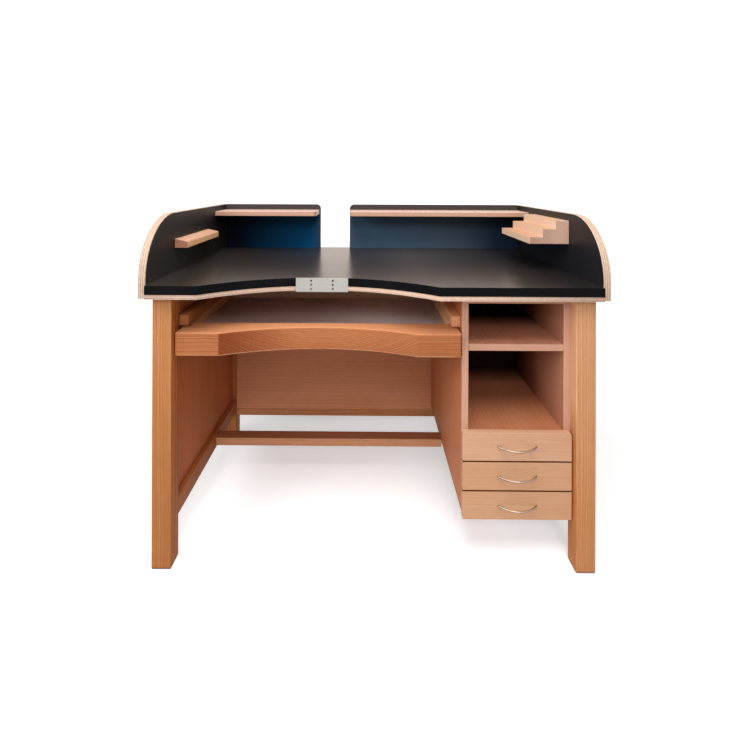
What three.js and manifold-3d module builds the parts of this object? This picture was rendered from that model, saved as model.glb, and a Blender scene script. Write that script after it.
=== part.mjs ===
// A goldsmith's bench: a beech base with a pull-out tray and a drawer cabinet, under a lined worktop
// that has side wings, back boards, shelves and tool rests.
// Millimetres, +Z up, the front faces -Y. The origin is on the floor, in the middle of the outline.
import * as THREE from 'three';
import { mergeVertices } from 'three/addons/utils/BufferGeometryUtils.js';
import Module from 'manifold-3d';

const wasm = await Module();
wasm.setup();

// Overall sizes
const overallWidth = 1454; // outer face of one wing to the outer face of the other
const overallDepth = 788; // front edge of the worktop to the back of the back boards
const worktopHeight = 900;
const upstandHeight = 210; // worktop to the top of the wings and back boards

// Clearances
const groovePlay = 0.3; // each side of a panel in its groove
const seatGap = 0.3; // between a cut piece and the face that it was cut to
const slideClearance = 0.5; // under and over what slides on a runner

// Worktop layers, round cut and pin plate
const underlayThickness = 14;
const boardThickness = 26;
const liningThickness = 2;
const cutSpan = 744; // width of the round cut in the front edge
const cutDepth = 125;
const cutCornerEase = 8;
const cutOffset = 4; // middle of the cut, right of the middle of the knee space
const plateWidth = 174;
const plateHeight = 46;
const plateThickness = 8;
const plateHoleDiameter = 6.5;
const plateHoleSpacing = 72; // between the two columns
const plateHolePitch = 13.5; // between the rows
const plateHoleRows = 3;
const plateFirstHole = 9; // worktop to the middle of the top row

// Wings, back boards, shelves and rests
const wingThickness = 23;
const wingSetback = 8; // behind the worktop's front edge
const wingCornerRadius = 200;
const backBoardThickness = 20;
const backGapWidth = 141;
const backBoardCornerRadius = 20;
const shelfThickness = 20;
const shelfDepth = 150;
const shelfDrop = 25; // top of the back boards to the shelf's top
const shelfEndInset = 5; // shelf end inside the back board's edge at the gap
const shelfCornerRadius = 15;
const slopedRestWidth = 46;
const slopedRestLength = 318;
const slopedRestShelfGap = 88; // rest to the shelf's front edge
const slopedRestLift = 84; // worktop to the rest's underside
const slopedRestWingHeight = 32;
const slopedRestInnerHeight = 21;
const slopedRestEase = 3; // eased upper edge towards the middle of the bench
const stepRestLength = 316;
const stepRestShelfGap = 66;
const stepRestLift = 100;
const stepTread = 47;
const stepRise = 30;
const stepFirstRise = 24;
const stepCount = 3;

// Posts, rails and panels of the base
const postWidth = 62;
const postDepth = 57;
const postEdgeRadius = 4;
const postSideInset = 31; // wing's outer face to the post's outer face
const postFrontInset = 34;
const postRearInset = 14;
const railThickness = 45;
const railClearance = 134; // floor to the lower side rails
const lowerRailHeight = 54;
const upperRailHeight = 70;
const sidePanelRecess = 18; // post's inner face to the panel's face
const backPanelRecess = 8; // rear post's front face to the panel's face
const panelThickness = 12;
const grooveDepth = 8;
const backRailClearance = 112; // floor to the lower back rail
const backRailHeight = 31;
const backRailDepth = 35;
const backRailReveal = 2; // rail's front face before the panel's face
const footrestClearance = 143; // floor to the footrest
const footrestDepth = 52;
const footrestHeight = 31;
const footrestInset = 405; // posts' front face to the footrest

// Cabinet
const cabinetWidth = 349;
const cabinetPanel = 22;
const cabinetTopThickness = 27;
const cabinetBottomThickness = 12;
const cabinetBackThickness = 8;
const cabinetSetback = 40; // posts' front face to the cabinet's front edges
const cabinetClearance = 163; // floor to the cabinet
const compartmentDepth = 466; // cabinet's front edges to its back
const upperCubbyHeight = 130;

// Drawers
const drawerCount = 3;
const drawerFrontHeight = 89;
const drawerFrontThickness = 19;
const drawerFrontGap = 4; // between two fronts, and to the post
const drawerFrontOverhang = 11; // lowest front's lower edge under the cabinet
const drawerCornerRadius = 7; // upper corners of the top front
const drawerStandOff = 1; // closed front to the cabinet's front edges
const dividerDrop = 2; // top of the top front to the divider's top
const drawerBoxDepth = 440;
const drawerBoxWall = 12;
const drawerBoxRise = 6; // front's lower edge to the box, where the cabinet's bottom lets it
const drawerHeadroom = 5; // lowest box to the runner above it
const drawerSideClearance = 2;
const drawerBottomThickness = 4;
const drawerBottomRise = 8;
const drawerGroove = 5;
const drawerRunnerHeight = 8;
const drawerRunnerWidth = 14;
const drawerRunnerRearGap = 25; // runner's end to the cabinet's back
const handleDiameter = 5;
const handleSpan = 121; // between the middles of its two ends
const handleBow = 27; // drawer front to the middle of the rod

// Tray
const trayDrop = 117; // worktop's underside to the top of the tray front
const trayFrontHeight = 73;
const trayFrontDepth = 106;
const trayFrontInset = 10; // posts' front face to the tray front
const traySideGap = 3.5;
const trayHollowSpan = 632;
const trayHollowDepth = 62;
const trayInsideDepth = 407;
const trayWallInset = 8; // knee space to the outside of a side wall
const trayWallThickness = 18;
const trayWallHeight = 48;
const trayFloorDrop = 28; // top of the tray front to the floor's face
const trayFloorThickness = 6;
const trayGroove = 6;
const kickerLift = 6; // top of the tray front to the kicker
const kickerHeight = 34;
const kickerReach = 28; // into the knee space
const kickerPostGap = 6; // front post to the kicker's end
const trayRunnerHeight = 22;
const trayRunnerReach = 32;
const trayRunnerGap = 4; // behind the tray front

// Straight pieces that a drawn arc or the bent rod of a handle is made of
const coarseArc = 3;
const mediumArc = 8;
const fineArc = 12;
const handleSteps = 24;

// Places worked out from the sizes above
const frontY = -overallDepth / 2;
const backY = overallDepth / 2;
const wingInnerX = overallWidth / 2 - wingThickness;
const boardTop = worktopHeight - liningThickness;
const boardBottom = boardTop - boardThickness;
const topUnderside = boardBottom - underlayThickness;
const upstandTop = worktopHeight + upstandHeight;
const postOuterX = overallWidth / 2 - postSideInset;
const postInnerX = postOuterX - postWidth;
const postFrontY = frontY + postFrontInset;
const frontPostRearY = postFrontY + postDepth;
const rearPostRearY = backY - postRearInset;
const rearPostFrontY = rearPostRearY - postDepth;
const kneeLeftX = -postInnerX;
const kneeRightX = postInnerX - cabinetWidth;
const kneeCentreX = (kneeLeftX + kneeRightX) / 2;
const cutCentreX = kneeCentreX + cutOffset;
const lowerRailTop = railClearance + lowerRailHeight;
const upperRailBottom = topUnderside - upperRailHeight;
const backPanelY = rearPostFrontY + backPanelRecess;
const backRailTop = backRailClearance + backRailHeight;
const backBoardY = backY - backBoardThickness;
const shelfFrontY = backBoardY - shelfDepth;
const gapLeftX = kneeCentreX - backGapWidth / 2;
const gapRightX = kneeCentreX + backGapWidth / 2;
const cabinetFrontY = postFrontY + cabinetSetback;
const cabinetBackY = cabinetFrontY + compartmentDepth;
const cabinetInnerLeftX = kneeRightX + cabinetPanel;
const cabinetInnerRightX = postInnerX - cabinetPanel;
const cabinetCeiling = topUnderside - cabinetTopThickness;
const shelfTop = cabinetCeiling - upperCubbyHeight;
const drawerPitch = drawerFrontHeight + drawerFrontGap;
const lowestFrontZ = cabinetClearance - drawerFrontOverhang;
const dividerTop = lowestFrontZ + drawerCount * drawerPitch - drawerFrontGap - dividerDrop;
const cabinetFloorTop = cabinetClearance + cabinetBottomThickness;
const drawerSeat = drawerRunnerHeight + slideClearance;
const lowestBoxZ = Math.max(lowestFrontZ + drawerBoxRise, cabinetFloorTop + drawerSeat);
const secondBoxZ = lowestFrontZ + drawerPitch + drawerBoxRise;
const drawerBoxHeight = secondBoxZ - drawerSeat - drawerHeadroom - lowestBoxZ;
const trayFrontTop = topUnderside - trayDrop;
const trayFrontY = postFrontY + trayFrontInset;
const trayFrontBackY = trayFrontY + trayFrontDepth;
const trayInsideBackY = trayFrontBackY + trayInsideDepth;
const kickerBottom = trayFrontTop + kickerLift;
const trayWallTop = kickerBottom - slideClearance;
const trayWallBottom = trayWallTop - trayWallHeight;
const trayRunnerTop = trayWallBottom - slideClearance;
const trayFloorTop = trayFrontTop - trayFloorDrop;
const trayFloorBottom = trayFloorTop - trayFloorThickness;
const sidePanelX = postInnerX + sidePanelRecess;

// Finishes
const finishes = {
  beechPost: { color: 0xc8895a, roughness: 0.45, metalness: 0 },
  beechPanel: { color: 0xb9794e, roughness: 0.5, metalness: 0 },
  beechFront: { color: 0xd7a47a, roughness: 0.42, metalness: 0 },
  cabinetBoard: { color: 0xc88f68, roughness: 0.5, metalness: 0 },
  birchPly: { color: 0xe3c4a4, roughness: 0.55, metalness: 0 },
  blackBoard: { color: 0x171b1d, roughness: 0.4, metalness: 0 },
  blackLining: { color: 0x2f2d2c, roughness: 0.45, metalness: 0 },
  blackFacedPly: { color: 0x28282a, roughness: 0.5, metalness: 0 },
  steelPlate: { color: 0xc4c8c6, roughness: 0.35, metalness: 1 },
  satinNickel: { color: 0xcfc8c0, roughness: 0.3, metalness: 1 },
  trayLaminate: { color: 0x8a8486, roughness: 0.45, metalness: 0.2 },
  drawerPly: { color: 0xd8b48c, roughness: 0.6, metalness: 0 },
};

const bench = new THREE.Group();

// Adds one named piece with a material of its own.
function addPiece(group, name, geometry, finish) {
  const mesh = new THREE.Mesh(geometry, new THREE.MeshStandardMaterial(finishes[finish]));
  mesh.name = name;
  group.add(mesh);
  return mesh;
}

// Adds a named part of the assembly.
function addGroup(name) {
  const group = new THREE.Group();
  group.name = name;
  bench.add(group);
  return group;
}

// A box between two limits on each axis. The unit box is mapped in one step, so that faces meant to meet do.
function board([x0, x1], [y0, y1], [z0, z1]) {
  const geometry = new THREE.BoxGeometry(1, 1, 1);
  geometry.translate(0.5, 0.5, 0.5);
  geometry.applyMatrix4(new THREE.Matrix4().makeScale(x1 - x0, y1 - y0, z1 - z0).setPosition(x0, y0, z0));
  return geometry;
}

// Extrudes a drawn outline along an axis. The outline is in (Y, Z), (X, Z) or (X, Y) for the axes x, y and z.
function extrude(outline, axis, from, to, curveSegments = mediumArc) {
  const geometry = new THREE.ExtrudeGeometry(outline, { depth: 1, bevelEnabled: false, curveSegments });
  const length = to - from;
  const placed = new THREE.Matrix4();
  if (axis === 'x') placed.set(0, 0, length, from, 1, 0, 0, 0, 0, 1, 0, 0, 0, 0, 0, 1);
  if (axis === 'y') placed.set(1, 0, 0, 0, 0, 0, -length, to, 0, 1, 0, 0, 0, 0, 0, 1);
  if (axis === 'z') placed.set(1, 0, 0, 0, 0, 1, 0, 0, 0, 0, length, from, 0, 0, 0, 1);
  return geometry.applyMatrix4(placed);
}

// An outline through points.
function polygon(points) {
  return new THREE.Shape(points.map(([a, b]) => new THREE.Vector2(a, b)));
}

// A rectangle with its own radius at each corner: lower left, lower right, upper right, upper left.
function roundedRectangle([a0, a1], [b0, b1], [lowLeft, lowRight, upRight, upLeft]) {
  const outline = new THREE.Shape();
  const quarter = Math.PI / 2;
  const corners = [
    [a0, b0, 1, 1, lowLeft, 2],
    [a1, b0, -1, 1, lowRight, 3],
    [a1, b1, -1, -1, upRight, 0],
    [a0, b1, 1, -1, upLeft, 1],
  ];
  outline.moveTo(a0, b0 + lowLeft);
  for (const [a, b, inA, inB, radius, turn] of corners) {
    if (radius > 0) {
      const centreA = a + inA * radius;
      const centreB = b + inB * radius;
      outline.absarc(centreA, centreB, radius, turn * quarter, (turn + 1) * quarter, false);
    } else {
      outline.lineTo(a, b);
    }
  }
  outline.closePath();
  return outline;
}

// A closed three.js mesh as a solid that can be cut.
function solidOf(geometry) {
  const bare = geometry.clone();
  bare.deleteAttribute('normal');
  bare.deleteAttribute('uv');
  const merged = mergeVertices(bare);
  const mesh = new wasm.Mesh({
    numProp: 3,
    vertProperties: new Float32Array(merged.attributes.position.array),
    triVerts: new Uint32Array(merged.index.array),
  });
  return new wasm.Manifold(mesh);
}

// Cuts tools out of a blank and gives back a three.js mesh.
function cut(blank, ...tools) {
  let solid = solidOf(blank);
  for (const tool of tools) {
    solid = solid.subtract(solidOf(tool));
  }
  const result = solid.getMesh();
  const geometry = new THREE.BufferGeometry();
  geometry.setAttribute('position', new THREE.BufferAttribute(result.vertProperties, 3));
  geometry.setIndex(new THREE.BufferAttribute(result.triVerts, 1));
  geometry.computeVertexNormals();
  return geometry;
}

// Limits on one axis, mirrored to the left (side -1) or kept on the right (side 1).
function onSide(side, inner, outer) {
  return side < 0 ? [-outer, -inner] : [inner, outer];
}

const sides = [
  { side: -1, word: 'left' },
  { side: 1, word: 'right' },
];

// Posts, with grooves for the side panels and the back panel
function addPosts(base) {
  const panelSpanZ = [lowerRailTop - grooveDepth - groovePlay, upperRailBottom + grooveDepth + groovePlay];
  const backSpanZ = [backRailTop - grooveDepth - groovePlay, upperRailBottom + grooveDepth + groovePlay];
  const backGrooveY = [backPanelY - groovePlay, backPanelY + panelThickness + groovePlay];
  const frontGrooveY = [frontPostRearY - grooveDepth, frontPostRearY + grooveDepth];
  const rearGrooveY = [rearPostFrontY - grooveDepth, rearPostFrontY + grooveDepth];
  const radii = Array(4).fill(postEdgeRadius);
  for (const { side, word } of sides) {
    const spanX = onSide(side, postInnerX, postOuterX);
    const grooveX = onSide(side, sidePanelX - groovePlay, sidePanelX + panelThickness + groovePlay);
    const backGrooveX = onSide(side, postInnerX - grooveDepth, postInnerX + grooveDepth);
    const frontBlank = roundedRectangle(spanX, [postFrontY, frontPostRearY], radii);
    const rearBlank = roundedRectangle(spanX, [rearPostFrontY, rearPostRearY], radii);
    const frontGroove = board(grooveX, frontGrooveY, panelSpanZ);
    const rearGroove = board(grooveX, rearGrooveY, panelSpanZ);
    const backGroove = board(backGrooveX, backGrooveY, backSpanZ);
    const frontPost = cut(extrude(frontBlank, 'z', 0, topUnderside, coarseArc), frontGroove);
    const rearPost = cut(extrude(rearBlank, 'z', 0, topUnderside, coarseArc), rearGroove, backGroove);
    addPiece(base, `post_front_${word}`, frontPost, 'beechPost');
    addPiece(base, `post_rear_${word}`, rearPost, 'beechPost');
  }
}

// Outline of a rail with a panel groove in its top (opening 1) or underside (opening -1).
function groovedRail([a0, a1], [z0, z1], [g0, g1], opening) {
  const mouth = opening > 0 ? z1 : z0;
  const far = opening > 0 ? z0 : z1;
  const floor = mouth - opening * grooveDepth;
  return polygon([
    [a0, far],
    [a1, far],
    [a1, mouth],
    [g1, mouth],
    [g1, floor],
    [g0, floor],
    [g0, mouth],
    [a0, mouth],
  ]);
}

// Side frames: two rails and a panel between the posts on each side
function addSideFrames(base) {
  for (const { side, word } of sides) {
    const railX = onSide(side, postInnerX, postInnerX + railThickness);
    const grooveX = onSide(side, sidePanelX - groovePlay, sidePanelX + panelThickness + groovePlay);
    const panelX = onSide(side, sidePanelX, sidePanelX + panelThickness);
    const lower = groovedRail(railX, [railClearance, lowerRailTop], grooveX, 1);
    const upper = groovedRail(railX, [upperRailBottom, topUnderside], grooveX, -1);
    const railY = [frontPostRearY, rearPostFrontY];
    const panel = board(
      panelX,
      [frontPostRearY - grooveDepth, rearPostFrontY + grooveDepth],
      [lowerRailTop - grooveDepth, upperRailBottom + grooveDepth],
    );
    addPiece(base, `side_rail_lower_${word}`, extrude(lower, 'y', ...railY), 'beechPost');
    addPiece(base, `side_rail_upper_${word}`, extrude(upper, 'y', ...railY), 'beechPost');
    addPiece(base, `side_panel_${word}`, panel, 'beechPanel');
  }
}

// Back panel between its two rails
function addBack(base) {
  const railY = [backPanelY - backRailReveal, backPanelY - backRailReveal + backRailDepth];
  const grooveY = [backPanelY - groovePlay, backPanelY + panelThickness + groovePlay];
  const lower = groovedRail(railY, [backRailClearance, backRailTop], grooveY, 1);
  const upper = groovedRail(railY, [upperRailBottom, topUnderside], grooveY, -1);
  const panel = board(
    [-postInnerX - grooveDepth, postInnerX + grooveDepth],
    [backPanelY, backPanelY + panelThickness],
    [backRailTop - grooveDepth, upperRailBottom + grooveDepth],
  );
  addPiece(base, 'back_rail_lower', extrude(lower, 'x', -postInnerX, postInnerX), 'beechPost');
  addPiece(base, 'back_rail_upper', extrude(upper, 'x', -postInnerX, postInnerX), 'beechPost');
  addPiece(base, 'back_panel', panel, 'beechPanel');
}

// Footrest from the left lower rail to the cabinet
function addFootrest(base) {
  const y0 = postFrontY + footrestInset;
  const rest = board(
    [kneeLeftX, kneeRightX],
    [y0, y0 + footrestDepth],
    [footrestClearance, footrestClearance + footrestHeight],
  );
  addPiece(base, 'footrest_rail', rest, 'beechPost');
}

// Circle of the round cut: it touches the cut's deepest point and its two ends on the front edge
const cutRadius = ((cutSpan / 2) ** 2 + cutDepth ** 2) / (2 * cutDepth);
const cutCentreY = frontY + cutDepth - cutRadius;
const plateFaceY = cutCentreY + Math.sqrt(cutRadius ** 2 - (plateWidth / 2) ** 2);
const plateBackY = plateFaceY + plateThickness;

// Outline of a worktop layer, with the round cut and the flat seat of the pin plate. The points of its
// back edge run from right to left.
function worktopOutline(backEdge) {
  const outline = new THREE.Shape();
  const seatHalf = plateWidth / 2 + seatGap;
  const seatAngle = Math.asin(seatHalf / cutRadius);
  const easeAngle = Math.asin(cutSpan / 2 / cutRadius) - cutCornerEase / cutRadius;
  const easeX = cutRadius * Math.sin(easeAngle);
  const easeY = cutCentreY + cutRadius * Math.cos(easeAngle);
  const cornerX = cutSpan / 2;
  const up = Math.PI / 2;
  outline.moveTo(-wingInnerX, frontY);
  outline.lineTo(cutCentreX - cornerX - cutCornerEase, frontY);
  outline.quadraticCurveTo(cutCentreX - cornerX, frontY, cutCentreX - easeX, easeY);
  outline.absarc(cutCentreX, cutCentreY, cutRadius, up + easeAngle, up + seatAngle, true);
  outline.lineTo(cutCentreX - seatHalf, plateBackY);
  outline.lineTo(cutCentreX + seatHalf, plateBackY);
  outline.absarc(cutCentreX, cutCentreY, cutRadius, up - seatAngle, up - easeAngle, true);
  outline.quadraticCurveTo(cutCentreX + cornerX, frontY, cutCentreX + cornerX + cutCornerEase, frontY);
  outline.lineTo(wingInnerX, frontY);
  for (const [x, y] of backEdge) {
    outline.lineTo(x, y);
  }
  outline.closePath();
  return outline;
}

// Worktop: underlay, board, and a lining that is cut round the back boards
function addWorktop(top) {
  const straight = [
    [wingInnerX, backY],
    [-wingInnerX, backY],
  ];
  const notched = [
    [wingInnerX, backBoardY],
    [gapRightX, backBoardY],
    [gapRightX, backY],
    [gapLeftX, backY],
    [gapLeftX, backBoardY],
    [-wingInnerX, backBoardY],
  ];
  const layer = worktopOutline(straight);
  const lining = extrude(worktopOutline(notched), 'z', boardTop, worktopHeight);
  addPiece(top, 'worktop_underlay', extrude(layer, 'z', topUnderside, boardBottom), 'birchPly');
  addPiece(top, 'worktop_board', extrude(layer, 'z', boardBottom, boardTop), 'blackBoard');
  addPiece(top, 'worktop_lining', lining, 'blackLining');
}

// Pin plate with two columns of holes
function addPinPlate(top) {
  const spanX = [cutCentreX - plateWidth / 2, cutCentreX + plateWidth / 2];
  const outline = roundedRectangle(spanX, [worktopHeight - plateHeight, worktopHeight], [0, 0, 0, 0]);
  for (const column of [-1, 1]) {
    for (let row = 0; row < plateHoleRows; row += 1) {
      const hole = new THREE.Path();
      const holeZ = worktopHeight - plateFirstHole - row * plateHolePitch;
      const holeX = cutCentreX + (column * plateHoleSpacing) / 2;
      hole.absarc(holeX, holeZ, plateHoleDiameter / 2, 0, 2 * Math.PI, true);
      outline.holes.push(hole);
    }
  }
  addPiece(top, 'pin_plate', extrude(outline, 'y', plateFaceY, plateBackY), 'steelPlate');
}

// Side wings with a round front corner
function addWings(top) {
  const wingFrontY = frontY + wingSetback;
  const radius = Math.min(wingCornerRadius, upstandTop - topUnderside, backY - wingFrontY);
  const outline = roundedRectangle([wingFrontY, backY], [topUnderside, upstandTop], [0, 0, 0, radius]);
  for (const { side, word } of sides) {
    const [x0, x1] = onSide(side, wingInnerX, wingInnerX + wingThickness);
    addPiece(top, `wing_${word}`, extrude(outline, 'x', x0, x1, fineArc), 'blackFacedPly');
  }
}

// Back boards, and a shelf on each
function addBackBoards(top) {
  const shelfZ1 = upstandTop - shelfDrop;
  const shelfY = [shelfFrontY, backBoardY];
  const round = Math.min(backBoardCornerRadius, upstandHeight);
  const boards = [
    { word: 'left', spanX: [-wingInnerX, gapLeftX], corners: [0, 0, round, 0] },
    { word: 'right', spanX: [gapRightX, wingInnerX], corners: [0, 0, 0, round] },
  ];
  for (const { word, spanX, corners } of boards) {
    const atLeft = word === 'left';
    const shelfX = atLeft ? [spanX[0], spanX[1] - shelfEndInset] : [spanX[0] + shelfEndInset, spanX[1]];
    const shelfCorners = atLeft ? [0, shelfCornerRadius, 0, 0] : [shelfCornerRadius, 0, 0, 0];
    const boardOutline = roundedRectangle(spanX, [boardTop, upstandTop], corners);
    const shelfOutline = roundedRectangle(shelfX, shelfY, shelfCorners);
    const backBoard = extrude(boardOutline, 'y', backBoardY, backY, coarseArc);
    const shelf = extrude(shelfOutline, 'z', shelfZ1 - shelfThickness, shelfZ1, coarseArc);
    addPiece(top, `back_board_${word}`, backBoard, 'blackFacedPly');
    addPiece(top, `shelf_${word}`, shelf, 'beechFront');
  }
}

// Tool rest with a sloping top on the left wing, round at its upper inner edge
function addSlopedRest(top) {
  const x0 = -wingInnerX;
  const x1 = x0 + slopedRestWidth;
  const z0 = worktopHeight + slopedRestLift;
  const y1 = shelfFrontY - slopedRestShelfGap;
  const innerZ = z0 + slopedRestInnerHeight;
  const slope = (slopedRestWingHeight - slopedRestInnerHeight) / slopedRestWidth;
  const outline = new THREE.Shape();
  outline.moveTo(x0, z0);
  outline.lineTo(x1, z0);
  outline.lineTo(x1, innerZ - slopedRestEase);
  outline.quadraticCurveTo(x1, innerZ, x1 - slopedRestEase, innerZ + slope * slopedRestEase);
  outline.lineTo(x0, z0 + slopedRestWingHeight);
  outline.closePath();
  const rest = extrude(outline, 'y', y1 - slopedRestLength, y1, mediumArc);
  addPiece(top, 'tool_rest_sloped', rest, 'beechFront');
}

// Stepped tool rest on the right wing, stepping down towards the middle
function addStepRest(top) {
  const z0 = worktopHeight + stepRestLift;
  const y1 = shelfFrontY - stepRestShelfGap;
  const points = [[wingInnerX, z0]];
  for (let step = stepCount; step > 0; step -= 1) {
    const stepZ = z0 + stepFirstRise + (step - 1) * stepRise;
    points.push([wingInnerX - (stepCount - step) * stepTread, stepZ]);
    points.push([wingInnerX - (stepCount - step + 1) * stepTread, stepZ]);
  }
  points.push([wingInnerX - stepCount * stepTread, z0]);
  addPiece(top, 'tool_rest_stepped', extrude(polygon(points), 'y', y1 - stepRestLength, y1), 'beechFront');
}

// Cabinet carcass between the knee space and the right posts
function addCabinet(cabinet) {
  const leftX = [kneeRightX, cabinetInnerLeftX];
  const rightX = [cabinetInnerRightX, postInnerX];
  const insideX = [cabinetInnerLeftX, cabinetInnerRightX];
  const insideY = [cabinetFrontY, cabinetBackY];
  const sideY = [cabinetFrontY, rearPostFrontY];
  const fullZ = [cabinetClearance, topUnderside];
  const shelfZ = [shelfTop - cabinetPanel, shelfTop];
  const dividerZ = [dividerTop - cabinetPanel, dividerTop];
  const bottomZ = [cabinetClearance, cabinetFloorTop];
  addPiece(cabinet, 'cabinet_side_left', board(leftX, sideY, fullZ), 'cabinetBoard');
  addPiece(cabinet, 'cabinet_side_right', board(rightX, sideY, fullZ), 'cabinetBoard');
  addPiece(cabinet, 'cabinet_top', board(insideX, insideY, [cabinetCeiling, topUnderside]), 'cabinetBoard');
  addPiece(cabinet, 'cabinet_shelf', board(insideX, insideY, shelfZ), 'cabinetBoard');
  addPiece(cabinet, 'cabinet_divider', board(insideX, insideY, dividerZ), 'cabinetBoard');
  addPiece(cabinet, 'cabinet_bottom', board(insideX, insideY, bottomZ), 'cabinetBoard');
  const behindY = [cabinetBackY, cabinetBackY + cabinetBackThickness];
  addPiece(cabinet, 'cabinet_back', board(insideX, behindY, fullZ), 'blackFacedPly');
}

// Bow handle: a round rod bent in a level arc, cut off at the drawer front
function bowHandle(centreX, faceY, handleZ) {
  const half = handleSpan / 2;
  const bowRadius = (half ** 2 + handleBow ** 2) / (2 * handleBow);
  const overrun = 2 * handleDiameter; // each end runs on into the cut
  const sweep = Math.asin(half / bowRadius) + overrun / bowRadius;
  class BowArc extends THREE.Curve {
    getPoint(t, target = new THREE.Vector3()) {
      const angle = (2 * t - 1) * sweep;
      const forward = handleBow - bowRadius * (1 - Math.cos(angle));
      return target.set(centreX + bowRadius * Math.sin(angle), faceY - forward, handleZ);
    }
  }
  const section = new THREE.Shape().absarc(0, 0, handleDiameter / 2, 0, 2 * Math.PI, false);
  const settings = { steps: handleSteps, curveSegments: mediumArc, extrudePath: new BowArc() };
  const rod = new THREE.ExtrudeGeometry(section, settings);
  const reach = 2 * overrun;
  const behind = board(
    [centreX - handleSpan, centreX + handleSpan],
    [faceY - seatGap, faceY + reach],
    [handleZ - reach, handleZ + reach],
  );
  return cut(rod, behind);
}

// One drawer, counted from the top, with the two runners that carry it
function addDrawer(cabinet, number) {
  const frontZ = lowestFrontZ + (drawerCount - number) * drawerPitch;
  const frontX = [kneeRightX, postInnerX - drawerFrontGap];
  const frontBackY = cabinetFrontY - drawerStandOff;
  const faceY = frontBackY - drawerFrontThickness;
  const boxZ = Math.max(frontZ + drawerBoxRise, lowestBoxZ);
  const boxX = [cabinetInnerLeftX + drawerSideClearance, cabinetInnerRightX - drawerSideClearance];
  const insideX = [boxX[0] + drawerBoxWall, boxX[1] - drawerBoxWall];
  const insideY = [frontBackY + drawerBoxWall, frontBackY + drawerBoxDepth - drawerBoxWall];
  const bottomX = [insideX[0] - drawerGroove, insideX[1] + drawerGroove];
  const bottomY = [insideY[0] - drawerGroove, insideY[1] + drawerGroove];
  const bottomZ = [boxZ + drawerBottomRise, boxZ + drawerBottomRise + drawerBottomThickness];
  const grooveZ = [bottomZ[0] - groovePlay, bottomZ[1] + groovePlay];
  const runnerTop = boxZ - slideClearance;
  const runnerY = [cabinetFrontY, cabinetBackY - drawerRunnerRearGap];
  const runnerZ = [runnerTop - drawerRunnerHeight, runnerTop];
  const corner = number === 1 ? drawerCornerRadius : 0;
  const front = roundedRectangle(frontX, [frontZ, frontZ + drawerFrontHeight], [0, 0, corner, corner]);
  const frame = cut(
    board(boxX, [frontBackY, frontBackY + drawerBoxDepth], [boxZ, boxZ + drawerBoxHeight]),
    board(insideX, insideY, [boxZ - drawerBoxHeight, boxZ + 2 * drawerBoxHeight]),
    board(bottomX, bottomY, grooveZ),
  );
  const handle = bowHandle((frontX[0] + frontX[1]) / 2, faceY, frontZ + drawerFrontHeight / 2);
  const leftRunner = board([cabinetInnerLeftX, cabinetInnerLeftX + drawerRunnerWidth], runnerY, runnerZ);
  const rightRunner = board([cabinetInnerRightX - drawerRunnerWidth, cabinetInnerRightX], runnerY, runnerZ);
  const panel = extrude(front, 'y', faceY, frontBackY, coarseArc);
  addPiece(cabinet, `drawer_${number}_front`, panel, 'beechFront');
  addPiece(cabinet, `drawer_${number}_box`, frame, 'drawerPly');
  addPiece(cabinet, `drawer_${number}_bottom`, board(bottomX, bottomY, bottomZ), 'drawerPly');
  addPiece(cabinet, `drawer_${number}_handle`, handle, 'satinNickel');
  addPiece(cabinet, `drawer_${number}_runner_left`, leftRunner, 'beechPost');
  addPiece(cabinet, `drawer_${number}_runner_right`, rightRunner, 'beechPost');
}

// Tray front: a thick block with a shallow hollow in its face
function trayFrontOutline() {
  const x0 = kneeLeftX + traySideGap;
  const x1 = kneeRightX - traySideGap;
  const half = trayHollowSpan / 2;
  const radius = (half ** 2 + trayHollowDepth ** 2) / (2 * trayHollowDepth);
  const centreY = trayFrontY + trayHollowDepth - radius;
  const sweep = Math.asin(half / radius);
  const up = Math.PI / 2;
  const outline = new THREE.Shape();
  outline.moveTo(x0, trayFrontBackY);
  outline.lineTo(x0, trayFrontY);
  outline.lineTo(kneeCentreX - half, trayFrontY);
  outline.absarc(kneeCentreX, centreY, radius, up + sweep, up - sweep, true);
  outline.lineTo(x1, trayFrontY);
  outline.lineTo(x1, trayFrontBackY);
  outline.closePath();
  return outline;
}

// Outline of a tray wall, from its outside face to its inside face, with the floor's groove in the inside.
function trayWallOutline(outside, inside) {
  const into = Math.sign(outside - inside);
  const grooveEnd = inside + into * trayGroove;
  const z0 = trayFloorBottom - groovePlay;
  const z1 = trayFloorTop + groovePlay;
  return polygon([
    [outside, trayWallBottom],
    [inside, trayWallBottom],
    [inside, z0],
    [grooveEnd, z0],
    [grooveEnd, z1],
    [inside, z1],
    [inside, trayWallTop],
    [outside, trayWallTop],
  ]);
}

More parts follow.
